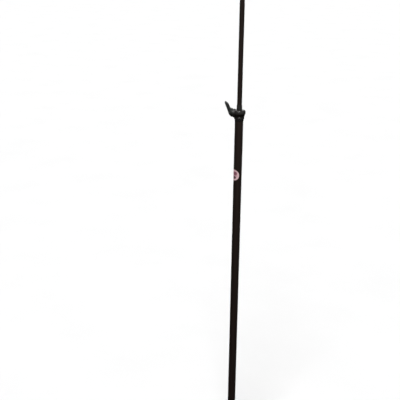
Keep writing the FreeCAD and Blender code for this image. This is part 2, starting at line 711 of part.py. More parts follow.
def make_lever_handle(doc):
    """Moulded lever: a domed hub on the clamping screw and one arm that leans outwards."""
    body = new_body(doc, "lever_handle")
    revolve(body, [
        ("0", "lever_foot"),
        ("lever_hub_radius", "lever_foot"),
        ("lever_hub_radius", "lever_foot + lever_hub_rim", "lever_hub_rounding"),
        ("lever_shoulder_radius", "lever_foot + lever_shoulder_depth", "lever_hub_rounding"),
        ("lever_face_radius", "lever_crown", "lever_hub_rounding"),
        ("0", "lever_crown"),
    ])
    stations = [
        ("-0.12 * lever_arm_length", "lever_root_width", "lever_root_thickness"),
        ("0.38 * lever_arm_length", "lever_neck_width", "lever_neck_thickness"),
        ("0.78 * lever_arm_length", "lever_tip_width", "lever_tip_thickness"),
        ("lever_arm_length", "lever_end_width", "lever_end_thickness"),
    ]
    sections = []
    for index, (reach, width, thickness) in enumerate(stations):
        sections.append(draw_arm_section(body, f"lever_section_{index}", reach, width, thickness))
    arm = body.newObject("PartDesign::AdditiveLoft", "lever_arm")
    arm.Profile = sections[0]
    arm.Sections = sections[1:]
    socket = new_sketch(body, "lever_socket_sketch", "XY_Plane")
    bind(socket, "AttachmentOffset.Base.z", "lever_foot")
    draw_circle(socket, "screw_grip")
    extrude(body, "lever_socket", "Pocket", socket, "clamp_screw_grip", backwards=True)
    turn_to_lever(body)
    return body


def make_pole(doc):
    """Make every piece, from the foot of the pole to its tip."""
    pins = [
        ("base_pin", "base_pin_radius", "outer_radius", "base_pin_height"),
        ("guide_pin", "guide_pin_radius", "inner_radius", "inner_foot + guide_pin_depth"),
        ("tip_pin", "guide_pin_radius", "inner_radius", "inner_end - guide_pin_depth"),
    ]
    pieces = [make_cross_pin(doc, *pin) for pin in pins]
    makers = [
        make_foot_ring, make_thread_insert, make_base_plug, make_base_bumper, make_outer_tube,
        make_label, make_clamp_collar, make_collar_screws, make_guide_bush, make_glide_ring,
        make_guide_plug, make_stop_collar, make_inner_tube, make_tip_stud, make_lock_ring,
        make_tip_washer, make_pressure_shoe, make_clamp_screw, make_lever_washer,
        make_lever_handle,
    ]
    pieces += [make(doc) for make in makers]
    return pieces


def check(doc, pieces):
    """Stop if anything failed to build."""
    for thing in doc.Objects:
        if "Invalid" in thing.State or "Error" in thing.State:
            raise RuntimeError(f"{thing.Name}: {thing.State} {thing.getStatusString()}")
    for piece in pieces:
        if piece.Shape.isNull() or not piece.Shape.isValid() or not piece.Shape.Solids:
            raise RuntimeError(f"{piece.Label} has no valid solid")


def main():
    doc = FreeCAD.newDocument("boom_pole")
    make_sheet(doc)
    pieces = make_pole(doc)
    doc.recompute()
    check(doc, pieces)
    os.makedirs("parts", exist_ok=True)
    for piece in pieces:
        piece.Shape.exportStep(f"parts/{piece.Label}.step")
        box = piece.Shape.BoundBox
        print(f"{piece.Label}: {len(piece.Shape.Solids)} solid, {piece.Shape.Volume:.1f} mm3, "
              f"x {box.XMin:.2f} {box.XMax:.2f} y {box.YMin:.2f} {box.YMax:.2f} "
              f"z {box.ZMin:.2f} {box.ZMax:.2f}")


main()
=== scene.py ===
import json
import math

import bmesh
import bpy
from mathutils import Matrix, Vector


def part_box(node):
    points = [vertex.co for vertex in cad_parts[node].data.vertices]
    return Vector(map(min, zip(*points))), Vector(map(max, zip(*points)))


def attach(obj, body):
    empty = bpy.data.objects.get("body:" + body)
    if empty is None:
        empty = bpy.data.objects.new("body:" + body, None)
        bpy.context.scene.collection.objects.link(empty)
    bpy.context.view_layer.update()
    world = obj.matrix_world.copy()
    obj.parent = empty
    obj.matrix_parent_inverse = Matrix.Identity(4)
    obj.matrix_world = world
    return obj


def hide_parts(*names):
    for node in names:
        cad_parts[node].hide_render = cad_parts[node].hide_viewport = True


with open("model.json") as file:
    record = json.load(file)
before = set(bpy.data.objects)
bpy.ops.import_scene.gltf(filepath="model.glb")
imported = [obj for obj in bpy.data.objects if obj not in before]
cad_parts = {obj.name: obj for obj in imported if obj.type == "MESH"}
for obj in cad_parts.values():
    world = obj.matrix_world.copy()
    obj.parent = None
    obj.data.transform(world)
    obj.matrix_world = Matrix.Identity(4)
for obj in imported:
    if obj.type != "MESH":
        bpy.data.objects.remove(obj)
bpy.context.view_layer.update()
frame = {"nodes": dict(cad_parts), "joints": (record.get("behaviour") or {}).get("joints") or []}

# ---------------------------------------------------------------------------------------------
# Foot ring: a ring of black rubber bonded round the neck of the base plug, flush with the base
# face. Moulded, with a rounded lower rim and one shallow grip groove.

mm = 0.001
ring_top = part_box("foot_ring")[1].z
tube_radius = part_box("outer_tube")[1].x


def lathe(name, outline, turns=128):
    """Turn a closed outline of (radius, height) points round the pole's axis into a solid."""
    bm = bmesh.new()
    rings = []
    for radius, height in outline:
        if radius < 1e-7:
            rings.append([bm.verts.new((0, 0, height))])
            continue
        angles = [2 * math.pi * step / turns for step in range(turns)]
        rings.append([
            bm.verts.new((radius * math.cos(a), radius * math.sin(a), height)) for a in angles
        ])
    for here, there in zip(rings, rings[1:] + rings[:1]):
        for step in range(turns):
            after = (step + 1) % turns
            if len(here) == 1 and len(there) == 1:
                break
            if len(here) == 1:
                bm.faces.new((here[0], there[after], there[step]))
            elif len(there) == 1:
                bm.faces.new((here[step], here[after], there[0]))
            else:
                bm.faces.new((here[step], here[after], there[after], there[step]))
    bmesh.ops.recalc_face_normals(bm, faces=bm.faces)
    return piece_from(bm, name)


def piece_from(bm, name, sharp=35):
    """Store a mesh as a piece, smooth except where it turns by more than the sharp angle."""
    mesh = bpy.data.meshes.new(name)
    bm.to_mesh(mesh)
    bm.free()
    piece = bpy.data.objects.new(name, mesh)
    bpy.context.scene.collection.objects.link(piece)
    smooth(mesh, sharp)
    return piece


def smooth(mesh, sharp=35):
    """Shade a mesh smooth, and keep the edges that turn by more than the sharp angle."""
    for face in mesh.polygons:
        face.use_smooth = True
    mesh.set_sharp_from_angle(angle=math.radians(sharp))


def round_corner(before, corner, after, radius, steps=6):
    """Points of the arc that rounds one corner of an outline."""
    before, corner, after = Vector(before), Vector(corner), Vector(after)
    back = (before - corner).normalized()
    on = (after - corner).normalized()
    half = back.angle(on) / 2
    reach = radius / math.tan(half)
    centre = corner + (back + on).normalized() * (radius / math.sin(half))
    start = corner + back * reach - centre
    end = corner + on * reach - centre
    sweep = start.angle_signed(end)
    turns = [Matrix.Rotation(-sweep * step / steps, 2) for step in range(steps + 1)]
    return [tuple(centre + turn @ start) for turn in turns]


def outline_of(corners):
    """Expand (radius, height, rounding) corners into plain (radius, height) points."""
    points = []
    for index, corner in enumerate(corners):
        if len(corner) < 3 or corner[2] == 0:
            points.append(corner[:2])
            continue
        before = corners[index - 1][:2]
        after = corners[(index + 1) % len(corners)][:2]
        points += round_corner(before, corner[:2], after, corner[2])
    return points


neck = tube_radius - 3.5 * mm
groove_foot, groove_top = 1.0 * mm, 1.5 * mm
groove_slope = 0.15 * mm
groove_bed = tube_radius - 0.35 * mm
foot_ring = lathe("foot_ring_rubber", outline_of([
    (neck, 0, 0.1 * mm),
    (tube_radius, 0, 0.8 * mm),
    (tube_radius, groove_foot),
    (groove_bed, groove_foot + groove_slope),
    (groove_bed, groove_top - groove_slope),
    (tube_radius, groove_top),
    (tube_radius, ring_top, 0.15 * mm),
    (neck, ring_top),
]))


def material(name):
    """Start a material with nodes and return it, its nodes, its links and its main shader."""
    made = bpy.data.materials.new(name)
    made.use_nodes = True
    nodes, links = made.node_tree.nodes, made.node_tree.links
    return made, nodes, links, nodes["Principled BSDF"]


def stretched(nodes, links, scale=(1, 1, 1), shift=(0, 0, 0)):
    """Coordinates of the piece itself, in metres, scaled and shifted along each axis."""
    place = nodes.new("ShaderNodeTexCoord")
    squeeze = nodes.new("ShaderNodeMapping")
    squeeze.inputs["Location"].default_value = shift
    squeeze.inputs["Scale"].default_value = scale
    links.new(place.outputs["Object"], squeeze.inputs["Vector"])
    return squeeze.outputs["Vector"]


def noise(nodes, links, vector, scale, detail=4.0, roughness=0.55):
    """A cloudy pattern from 0 to 1, with the given number of patches to the metre."""
    made = nodes.new("ShaderNodeTexNoise")
    made.inputs["Scale"].default_value = scale
    made.inputs["Detail"].default_value = detail
    made.inputs["Roughness"].default_value = roughness
    links.new(vector, made.inputs["Vector"])
    return made.outputs["Fac"]


def between(nodes, links, factor, low, high, first=0.3, last=0.7):
    """Blend from one colour, or one number, to another as the factor goes from first to last."""
    ramp = nodes.new("ShaderNodeValToRGB")
    ramp.color_ramp.elements[0].position = first
    ramp.color_ramp.elements[1].position = last
    for element, value in zip(ramp.color_ramp.elements, (low, high)):
        element.color = (*value, 1) if isinstance(value, tuple) else (value, value, value, 1)
    links.new(factor, ramp.inputs["Fac"])
    return ramp.outputs["Color"]


def bump(nodes, links, shader, height, distance, strength=1.0):
    """Let a pattern dent the surface by up to the distance."""
    made = nodes.new("ShaderNodeBump")
    made.inputs["Distance"].default_value = distance
    made.inputs["Strength"].default_value = strength
    links.new(height, made.inputs["Height"])
    links.new(made.outputs["Normal"], shader.inputs["Normal"])


def black_rubber():
    """Matt black rubber with a fine grain, greyed a little in patches."""
    made, nodes, links, shader = material("black_rubber")
    where = stretched(nodes, links)
    patch = noise(nodes, links, where, 260)
    grain = noise(nodes, links, where, 4200, 6.0, 0.7)
    links.new(between(nodes, links, patch, (0.010, 0.010, 0.010), (0.026, 0.024, 0.023)),
              shader.inputs["Base Color"])
    links.new(between(nodes, links, patch, 0.62, 0.85), shader.inputs["Roughness"])
    shader.inputs["Specular IOR Level"].default_value = 0.3
    bump(nodes, links, shader, grain, 0.06 * mm, 0.6)
    return made


def finish(piece, made, slot, body, *nodes):
    """Give a piece its finish and body, and hide the nodes that it stands for."""
    piece.data.materials.clear()
    piece.data.materials.append(made)
    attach(piece, body)
    if nodes:
        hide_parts(*nodes)


rubber = black_rubber()
finish(foot_ring, rubber, "foot_rubber", "outer_pole", "foot_ring")

# ---------------------------------------------------------------------------------------------
# Thread insert: zinc-plated steel bush pressed into the base plug, with a 3/8 inch, 16 per inch
# female thread cut in it. Its mouth has a lead-in chamfer at the base face.

inch = 25.4 * mm
stud_pitch = inch / 16
insert_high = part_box("base_thread_insert")[1]
insert_radius = insert_high.x


def thread_wave(turn):
    """Height of a thread's flank over one pitch, from 0 at the root to 1 at the crest."""
    turn %= 1.0
    flat = 0.12  # the crest's and the root's share of one pitch
    slope = 0.5 - flat
    if turn < flat:
        return 1.0
    if turn < flat + slope:
        return 1.0 - (turn - flat) / slope
    if turn < 2 * flat + slope:
        return 0.0
    return (turn - 2 * flat - slope) / slope


def threaded_rows(low, high, root, crest, pitch, lead=0.0, sides=64, per_pitch=10):
    """Rings of points of a helical thread; the lead fades the thread out at the upper end."""
    count = max(2, int((high - low) / pitch * per_pitch))
    rows = []
    for row in range(count + 1):
        height = low + (high - low) * row / count
        fade = 1.0 if lead == 0 else max(0.0, min(1.0, (high - height) / lead))
        ring = []
        for side in range(sides):
            wave = thread_wave(height / pitch - side / sides)
            radius = root + (crest - root) * wave * fade
            angle = 2 * math.pi * side / sides
            ring.append((radius * math.cos(angle), radius * math.sin(angle), height))
        rows.append(ring)
    return rows


def round_row(radius, height, sides=64):
    """One ring of points round the Z axis."""
    angles = [2 * math.pi * side / sides for side in range(sides)]
    return [(radius * math.cos(a), radius * math.sin(a), height) for a in angles]


def skin(name, rows, closed=False, sharp=35):
    """Join rings of points into one solid: capped at both ends, or joined into a ring."""
    bm = bmesh.new()
    made = [[bm.verts.new(point) for point in row] for row in rows]
    pairs = list(zip(made, made[1:]))
    if closed:
        pairs.append((made[-1], made[0]))
    for here, there in pairs:
        for side in range(len(here)):
            after = (side + 1) % len(here)
            bm.faces.new((here[side], here[after], there[after], there[side]))
    if not closed:
        bm.faces.new(made[0])
        bm.faces.new(made[-1])
    bmesh.ops.recalc_face_normals(bm, faces=bm.faces)
    return piece_from(bm, name, sharp)


core = 4.0 * mm
thread_depth = 0.62 * mm
mouth = 0.7 * mm
thread_end = insert_high.z - 0.4 * mm
insert_rows = [round_row(core + mouth, 0)]
insert_rows += threaded_rows(mouth, thread_end, core + thread_depth, core, stud_pitch)
insert_rows += [
    round_row(core + 0.2 * mm, insert_high.z),
    round_row(insert_radius, insert_high.z),
    round_row(insert_radius, 0.3 * mm),
    round_row(insert_radius - 0.3 * mm, 0),
]
insert = skin("thread_insert", insert_rows, closed=True, sharp=25)


def mixed(nodes, links, factor, first, second):
    """Mix two colour outputs by a factor."""
    made = nodes.new("ShaderNodeMix")
    made.data_type = "RGBA"
    links.new(factor, made.inputs["Factor"])
    links.new(first, made.inputs["A"])
    links.new(second, made.inputs["B"])
    return made.outputs["Result"]


def zinc_steel():
    """Zinc-plated steel with faint turning rings."""
    made, nodes, links, shader = material("zinc_steel")
    rings = noise(nodes, links, stretched(nodes, links, (40, 40, 3000)), 1.0, 5.0)
    patch = noise(nodes, links, stretched(nodes, links), 180)
    bright = between(nodes, links, rings, (0.34, 0.34, 0.35), (0.56, 0.56, 0.57))
    dull = between(nodes, links, patch, (0.22, 0.22, 0.22), (0.42, 0.42, 0.41))
    links.new(mixed(nodes, links, between(nodes, links, patch, 0.0, 0.6), bright, dull),
              shader.inputs["Base Color"])
    links.new(between(nodes, links, rings, 0.28, 0.5), shader.inputs["Roughness"])
    shader.inputs["Metallic"].default_value = 1.0
    bump(nodes, links, shader, rings, 0.01 * mm, 0.5)
    return made


steel = zinc_steel()
finish(insert, steel, "plain_steel", "outer_pole", "base_thread_insert")

# ---------------------------------------------------------------------------------------------
# Base plug, its cross pin and the soft disc above it. The plug is turned from aluminium bar and
# pressed into the tube; the steel pin keeps it there; the disc stops the thin tube softly.


def refinish(node, made):
    """Give a node of the frame a better material."""
    piece = frame["nodes"][node]
    if not piece.data.materials:
        piece.data.materials.append(made)
    for index in range(len(piece.data.materials)):
        piece.data.materials[index] = made


def turned_aluminium():
    """Bare aluminium with turning rings."""
    made, nodes, links, shader = material("turned_aluminium")
    rings = noise(nodes, links, stretched(nodes, links, (60, 60, 4000)), 1.0, 6.0)
    patch = noise(nodes, links, stretched(nodes, links), 120)
    links.new(mixed(nodes, links, patch,
                    between(nodes, links, rings, (0.55, 0.55, 0.56), (0.74, 0.74, 0.75)),
                    between(nodes, links, rings, (0.48, 0.48, 0.48), (0.66, 0.66, 0.66))),
              shader.inputs["Base Color"])
    links.new(between(nodes, links, rings, 0.25, 0.42), shader.inputs["Roughness"])
    shader.inputs["Metallic"].default_value = 1.0
    bump(nodes, links, shader, rings, 0.012 * mm, 0.6)
    return made


def soft_pad():
    """Closed-cell foam rubber."""
    made, nodes, links, shader = material("soft_pad")
    cells = nodes.new("ShaderNodeTexVoronoi")
    cells.inputs["Scale"].default_value = 1800
    links.new(stretched(nodes, links), cells.inputs["Vector"])
    links.new(between(nodes, links, cells.outputs["Distance"], (0.03, 0.03, 0.03),
                      (0.075, 0.073, 0.07), 0.0, 0.6), shader.inputs["Base Color"])
    shader.inputs["Roughness"].default_value = 0.95
    shader.inputs["Specular IOR Level"].default_value = 0.1
    bump(nodes, links, shader, cells.outputs["Distance"], 0.2 * mm, 0.8)
    return made


aluminium = turned_aluminium()
refinish("base_plug", aluminium)
refinish("base_pin", steel)
refinish("base_bumper", soft_pad())

# ---------------------------------------------------------------------------------------------
# Thick tube: drawn aluminium with a satin black skin, faintly brown. Fine lengthwise drawing
# lines, with thin scratches where a hand and a holder have rubbed it.


def worked_out(nodes, links, operation, *values):
    """The result of a sum on numbers and on the outputs of other nodes."""
    step = nodes.new("ShaderNodeMath")
    step.operation = operation
    for socket, value in zip(step.inputs, values):
        if isinstance(value, (int, float)):
            socket.default_value = value
        else:
            links.new(value, socket)
    return step.outputs["Value"]


def black_tube(name, dark, light, scratch, shine, seed):
    """Black skin on drawn aluminium; the seed moves the pattern, so that no two tubes match."""
    made, nodes, links, shader = material(name)
    drawn = stretched(nodes, links, (1400, 1400, 12), (seed, seed, seed))
    lines = noise(nodes, links, drawn, 1.0, 3.0)
    patch = noise(nodes, links, stretched(nodes, links, (60, 60, 14)), 1.0, 5.0)
    skin_colour = between(nodes, links, patch, dark, light, 0.35, 0.65)
    rubbed = stretched(nodes, links, (2600, 2600, 30), (seed * 3, 0, seed))
    fine = noise(nodes, links, rubbed, 1.0, 2.0, 0.4)
    where = between(nodes, links, patch, 0.0, 1.0, 0.52, 0.7)
    thin = between(nodes, links, fine, 0.0, 1.0, 0.66, 0.72)
    scratched = worked_out(nodes, links, "MULTIPLY", where, thin)
    bare = between(nodes, links, lines, scratch, scratch)
    links.new(mixed(nodes, links, scratched, skin_colour, bare), shader.inputs["Base Color"])
    links.new(between(nodes, links, lines, 0.34, 0.46), shader.inputs["Roughness"])
    shader.inputs["Specular IOR Level"].default_value = shine
    shader.inputs["Specular Tint"].default_value = (1.0, 0.78, 0.68, 1)
    bump(nodes, links, shader, lines, 0.01 * mm, 0.25)
    return made


refinish("outer_tube", black_tube(
    "thick_tube_black", dark=(0.0040, 0.0021, 0.0016), light=(0.0054, 0.0029, 0.0023),
    scratch=(0.035, 0.030, 0.027), shine=0.65, seed=0.3,
))

# ---------------------------------------------------------------------------------------------
# Label: a round printed film wrapped on the thick tube below the collar. A petal of rose ink
# and a grey dot on a pale pink ground, which stand for no maker.

label_low, label_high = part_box("label")
label_middle = (label_low.z + label_high.z) / 2
label_radius = (label_high.z - label_low.z) / 2
label_facing = math.radians(210)
petal_place = (4.2 * mm, 4.8 * mm)
dot_place = (2.6 * mm, -6.6 * mm)


def multiplied(nodes, links, first, second):
    """Darken one colour output by another."""
    made = nodes.new("ShaderNodeMix")
    made.data_type = "RGBA"
    made.blend_type = "MULTIPLY"
    made.inputs["Factor"].default_value = 1.0
    links.new(first, made.inputs["A"])
    links.new(second, made.inputs["B"])
    return made.outputs["Result"]


def printed_film():
    """The film's print, drawn by how far each point is from the middle of each shape."""
    made, nodes, links, shader = material("printed_film")

    def work(operation, *values):
        return worked_out(nodes, links, operation, *values)

    place = nodes.new("ShaderNodeTexCoord")
    split = nodes.new("ShaderNodeSeparateXYZ")
    links.new(place.outputs["Object"], split.inputs["Vector"])
    east, north, height = split.outputs
    # turn the tube's back to the seam of the arctangent, so that the label is in one piece
    across = work("ADD", work("MULTIPLY", east, -math.sin(label_facing)),
                  work("MULTIPLY", north, math.cos(label_facing)))
    ahead = work("ADD", work("MULTIPLY", east, math.cos(label_facing)),
                 work("MULTIPLY", north, math.sin(label_facing)))
    along = work("MULTIPLY", work("ARCTAN2", across, ahead), tube_radius)
    up = work("SUBTRACT", height, label_middle)

    def distance(side, high):
        """How far a point lies from one place on the label, as a share of its radius."""
        squares = [work("POWER", work("SUBTRACT", way, centre), 2)
                   for way, centre in ((along, side), (up, high))]
        return work("MULTIPLY", work("SQRT", work("ADD", *squares)), 1 / label_radius)

    ground = between(nodes, links, distance(0, 0), (0.50, 0.29, 0.32), (0.66, 0.46, 0.48),
                     0.55, 0.9)
    petal = distance(*petal_place)
    rose = between(nodes, links, petal, (0.17, 0.055, 0.078), (0.27, 0.115, 0.145), 0.08, 0.36)
    inked = between(nodes, links, petal, 1.0, 0.0, 0.365, 0.38)
    dot = distance(*dot_place)
    grey = between(nodes, links, dot, (0.075, 0.045, 0.050), (0.13, 0.080, 0.088), 0.1, 0.26)
    dotted = between(nodes, links, dot, 1.0, 0.0, 0.265, 0.28)
    colour = mixed(nodes, links, inked, ground, rose)
    colour = mixed(nodes, links, dotted, colour, grey)
    speck = noise(nodes, links, stretched(nodes, links), 1600)
    faded = between(nodes, links, speck, (0.93, 0.93, 0.93), (1.0, 1.0, 1.0))
    links.new(multiplied(nodes, links, colour, faded), shader.inputs["Base Color"])
    links.new(between(nodes, links, speck, 0.35, 0.5), shader.inputs["Roughness"])
    bump(nodes, links, shader, speck, 0.01 * mm, 0.3)
    return made


refinish("label", printed_film())

# ---------------------------------------------------------------------------------------------
# Clamp collar: a die casting in semi-gloss black paint, fixed on the thick tube's end. Round
# band below, wide head above, a boss with a lug under it for the clamping screw, and two pads
# for the fixing screws. Its inner corners are rounded as in a mould.

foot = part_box("clamp_collar")[0].z
screw_joint = [joint for joint in frame["joints"] if joint["name"] == "lever_turn"][0]
screw_height = screw_joint["pos_m"][2]
screws_low, screws_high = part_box("collar_screws")
fixing_height = (screws_low.z + screws_high.z) / 2
inner_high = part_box("inner_tube")[1]
thin_radius = inner_high.x
bush_radius = thin_radius + 2.98 * mm
collar_top = foot + 29.3 * mm
rim = tube_radius + 0.6 * mm
band = tube_radius + 2.1 * mm
head = tube_radius + 5.2 * mm
boss_face, boss_radius = 16.7 * mm, 9.3 * mm
heel_drop, heel_radius = 7 * mm, 6.6 * mm
pad_face, pad_radius = band + 0.7 * mm, 4.6 * mm
pad_seat, seat_radius = pad_face - 0.5 * mm, 3.0 * mm
thread_hole, clamp_hole = 1.5 * mm, 4.05 * mm
over = 5 * mm  # how far a cut runs on past the skin

collar_skin = outline_of([
    (0, foot),
    (rim, foot, 0.15 * mm),
    (rim, foot + 3.9 * mm),
    (band, foot + 5.0 * mm, 0.8 * mm),
    (band, foot + 11.5 * mm, 3.0 * mm),
    (head, foot + 19.6 * mm, 1.6 * mm),
    (head, foot + 22.4 * mm, 1.6 * mm),
    (head - 0.6 * mm, foot + 27.4 * mm, 3.0 * mm),
    (bush_radius + 1.8 * mm, collar_top, 0.6 * mm),
    (0, collar_top),
])


def disc_along(name, start, end, radius, turns=96):
    """A round bar between two points, used to add to a casting or to cut from it."""
    start, end = Vector(start), Vector(end)
    bm = bmesh.new()
    length = (end - start).length
    bmesh.ops.create_cone(bm, cap_ends=True, segments=turns, radius1=radius, radius2=radius,
                          depth=length)
    turn = (end - start).to_track_quat("Z", "Y").to_matrix().to_4x4()
    bm.transform(Matrix.Translation((start + end) / 2) @ turn)
    return piece_from(bm, name)


def combine(piece, others, operation):
    """Add other solids to a piece, or cut them from it, and throw them away."""
    for other in others:
        step = piece.modifiers.new("step", "BOOLEAN")
        step.operation = operation
        step.solver = "EXACT"
        step.object = other
    settle(piece)
    weld(piece)
    for other in others:
        bpy.data.objects.remove(other)


def weld(piece, seam=0.02 * mm):
    """Close the hairline seams that a cut leaves in a skin, and drop the flaps on them."""
    skin = bmesh.new()
    skin.from_mesh(piece.data)
    bmesh.ops.triangulate(skin, faces=skin.faces)
    bmesh.ops.remove_doubles(skin, verts=skin.verts, dist=seam)
    bmesh.ops.dissolve_degenerate(skin, dist=seam / 2, edges=skin.edges)
    open_edges = [edge for edge in skin.edges if edge.is_boundary]
    corners = [corner for edge in open_edges for corner in edge.verts]
    for edge in open_edges:
        start, end = edge.verts
        along = end.co - start.co
        for corner in corners:
            share = (corner.co - start.co).dot(along) / along.length_squared
            gap = (start.co + share * along - corner.co).length
            if corner not in edge.verts and 0 < share < 1 and gap < seam:
                shared = bmesh.utils.edge_split(edge, start, share)[1]
                shared.co = corner.co
                break
    bmesh.ops.remove_doubles(skin, verts=skin.verts, dist=seam / 100)
    bmesh.ops.triangulate(skin, faces=skin.faces)
    skin.to_mesh(piece.data)
    skin.free()


def settle(piece):
    """Turn a piece's modifiers into its mesh."""
    bpy.context.view_layer.update()
    graph = bpy.context.evaluated_depsgraph_get()
    mesh = bpy.data.meshes.new_from_object(piece.evaluated_get(graph))
    piece.modifiers.clear()
    piece.data = mesh


def cast_in_one(piece, voxel, passes):
    """Melt joined solids into one casting whose inner corners are rounded."""
    remesh = piece.modifiers.new("cast", "REMESH")
    remesh.mode = "VOXEL"
    remesh.voxel_size = voxel
    soften = piece.modifiers.new("soften", "SMOOTH")
    soften.factor = 0.5
    soften.iterations = passes
    settle(piece)


def bar_across(name, start, end, height, radius, turns=96):
    """A round bar along X, from the pole's axis towards the lever."""
    return disc_along(name, (-start, 0, height), (-end, 0, height), radius, turns)


def bar_through(name, start, end, height, radius, turns=96):
    """A round bar along Y, from front to back."""
    return disc_along(name, (0, start, height), (0, end, height), radius, turns)


def bar_up(name, start, end, radius):
    """A round bar along the pole's axis."""
    return disc_along(name, (0, 0, start), (0, 0, end), radius)


collar = lathe("clamp_collar_casting", collar_skin)
rough_face = boss_face + 2 * mm
heel_height = screw_height - heel_drop
combine(collar, [
    bar_across("boss", rough_face, 10 * mm, screw_height, boss_radius),
    bar_across("heel", rough_face, 9 * mm, heel_height, heel_radius),
    bar_through("front_pad", -pad_face, -10 * mm, fixing_height, pad_radius),
    bar_through("back_pad", 10 * mm, pad_face, fixing_height, pad_radius),
], "UNION")
cast_in_one(collar, voxel=0.35 * mm, passes=6)
combine(collar, [
    bar_across("faced_off", boss_face + over, boss_face, screw_height - 3 * mm, 20 * mm),
    bar_up("bore", foot + 12 * mm, collar_top + over, bush_radius),
    bar_up("socket", foot - over, foot + 13 * mm, tube_radius),
    bar_across("clamp_hole", boss_face + over, 0, screw_height, clamp_hole),
    bar_through("front_seat", -pad_face - 2 * mm, -pad_seat, fixing_height, seat_radius),
    bar_through("back_seat", pad_seat, pad_face + 2 * mm, fixing_height, seat_radius),
    bar_through("screw_holes", -20 * mm, 20 * mm, fixing_height, thread_hole, turns=48),
], "DIFFERENCE")
smooth(collar.data, sharp=40)


def worn_edges(nodes, links, low=0.53, high=0.6):
    """A mask of the convex edges, broken up by noise."""
    shape = nodes.new("ShaderNodeNewGeometry")
    edge = between(nodes, links, shape.outputs["Pointiness"], 0.0, 1.0, low, high)
    patch = noise(nodes, links, stretched(nodes, links), 900)
    broken = between(nodes, links, patch, 0.0, 1.0, 0.45, 0.62)
    return worked_out(nodes, links, "MULTIPLY", edge, broken)


def painted_casting():
    """Glossy black paint, dulled by grease and fingers on the boss under the lever."""
    made, nodes, links, shader = material("painted_casting")
    where = stretched(nodes, links)
    patch = noise(nodes, links, where, 140, 5.0)
    peel = noise(nodes, links, where, 1500, 2.0)
    paint = between(nodes, links, patch, (0.0050, 0.0038, 0.0033), (0.0090, 0.0070, 0.0062))
    bare = between(nodes, links, patch, (0.09, 0.08, 0.075), (0.16, 0.15, 0.14))
    edges = worn_edges(nodes, links, 0.56, 0.64)
    links.new(mixed(nodes, links, edges, paint, bare), shader.inputs["Base Color"])
    place = nodes.new("ShaderNodeTexCoord")
    split = nodes.new("ShaderNodeSeparateXYZ")
    links.new(place.outputs["Object"], split.inputs["Vector"])
    reach = worked_out(nodes, links, "MULTIPLY", split.outputs["X"], -1 / boss_face)
    handled = between(nodes, links, reach, 0.0, 1.0, 0.5, 0.8)
    glossy = between(nodes, links, patch, 0.17, 0.25)
    greasy = between(nodes, links, patch, 0.50, 0.62)
    links.new(mixed(nodes, links, handled, glossy, greasy), shader.inputs["Roughness"])
    shader.inputs["Specular IOR Level"].default_value = 0.75
    bump(nodes, links, shader, peel, 0.03 * mm, 0.25)
    return made


finish(collar, painted_casting(), "black_casting", "outer_pole", "clamp_collar")

# ---------------------------------------------------------------------------------------------
# Fixing screws: two slotted screws in blackened steel, one in front and one behind. They are
# let into the collar's pads and hold it on the thick tube.


def blackened_steel():
    """Oil-blackened steel, worn to grey on its edges."""
    made, nodes, links, shader = material("blackened_steel")
    patch = noise(nodes, links, stretched(nodes, links), 500)
    dark = between(nodes, links, patch, (0.012, 0.011, 0.010), (0.024, 0.022, 0.020))
    bare = between(nodes, links, patch, (0.07, 0.065, 0.06), (0.14, 0.13, 0.12))
    links.new(mixed(nodes, links, worn_edges(nodes, links), dark, bare),
              shader.inputs["Base Color"])
    links.new(between(nodes, links, patch, 0.3, 0.5), shader.inputs["Roughness"])
    shader.inputs["Metallic"].default_value = 0.9
    bump(nodes, links, shader, patch, 0.02 * mm, 0.4)
    return made


refinish("collar_screws", blackened_steel())

# ---------------------------------------------------------------------------------------------
# Guide bush: black moulded nylon. Its flange is trapped on the thick tube's end, its body fills
# the collar's bore, and its tapered lip wraps the thin tube above the collar.

bush_low, bush_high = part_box("guide_bush")
bore = thin_radius + 0.08 * mm
flange_radius = tube_radius - 0.02 * mm
flange_top = bush_low.z + 1.5 * mm
bush = lathe("guide_bush_moulding", outline_of([
    (bore, bush_low.z),
    (flange_radius, bush_low.z, 0.1 * mm),
    (flange_radius, flange_top),
    (bush_radius, flange_top),
    (bush_radius, collar_top, 0.3 * mm),
    (bore + 0.9 * mm, collar_top + 0.1 * mm, 0.4 * mm),
    (bore + 0.5 * mm, bush_high.z, 0.2 * mm),
    (bore, bush_high.z, 0.15 * mm),
]))


def black_nylon(name, dark, light):
    """Black glass-filled nylon, rubbed grey on its edges."""
    made, nodes, links, shader = material(name)
    where = stretched(nodes, links)
    patch = noise(nodes, links, where, 160)
    grain = noise(nodes, links, where, 3800, 3.0, 0.6)
    plain = between(nodes, links, patch, dark, light)
    rubbed = between(nodes, links, patch, (0.055, 0.057, 0.055), (0.08, 0.082, 0.08))
    links.new(mixed(nodes, links, worn_edges(nodes, links), plain, rubbed),
              shader.inputs["Base Color"])
    links.new(between(nodes, links, patch, 0.30, 0.44), shader.inputs["Roughness"])
    shader.inputs["Specular IOR Level"].default_value = 0.42
    bump(nodes, links, shader, grain, 0.03 * mm, 0.35)
    return made


finish(bush, black_nylon("bush_nylon", (0.008, 0.0065, 0.006), (0.013, 0.011, 0.010)),
       "black_nylon", "outer_pole", "guide_bush")

# ---------------------------------------------------------------------------------------------
# Glide ring, guide plug and stop collar: what carries the thin tube's foot inside the thick
# tube. The split ring and the stop are natural nylon, the plug is turned aluminium.


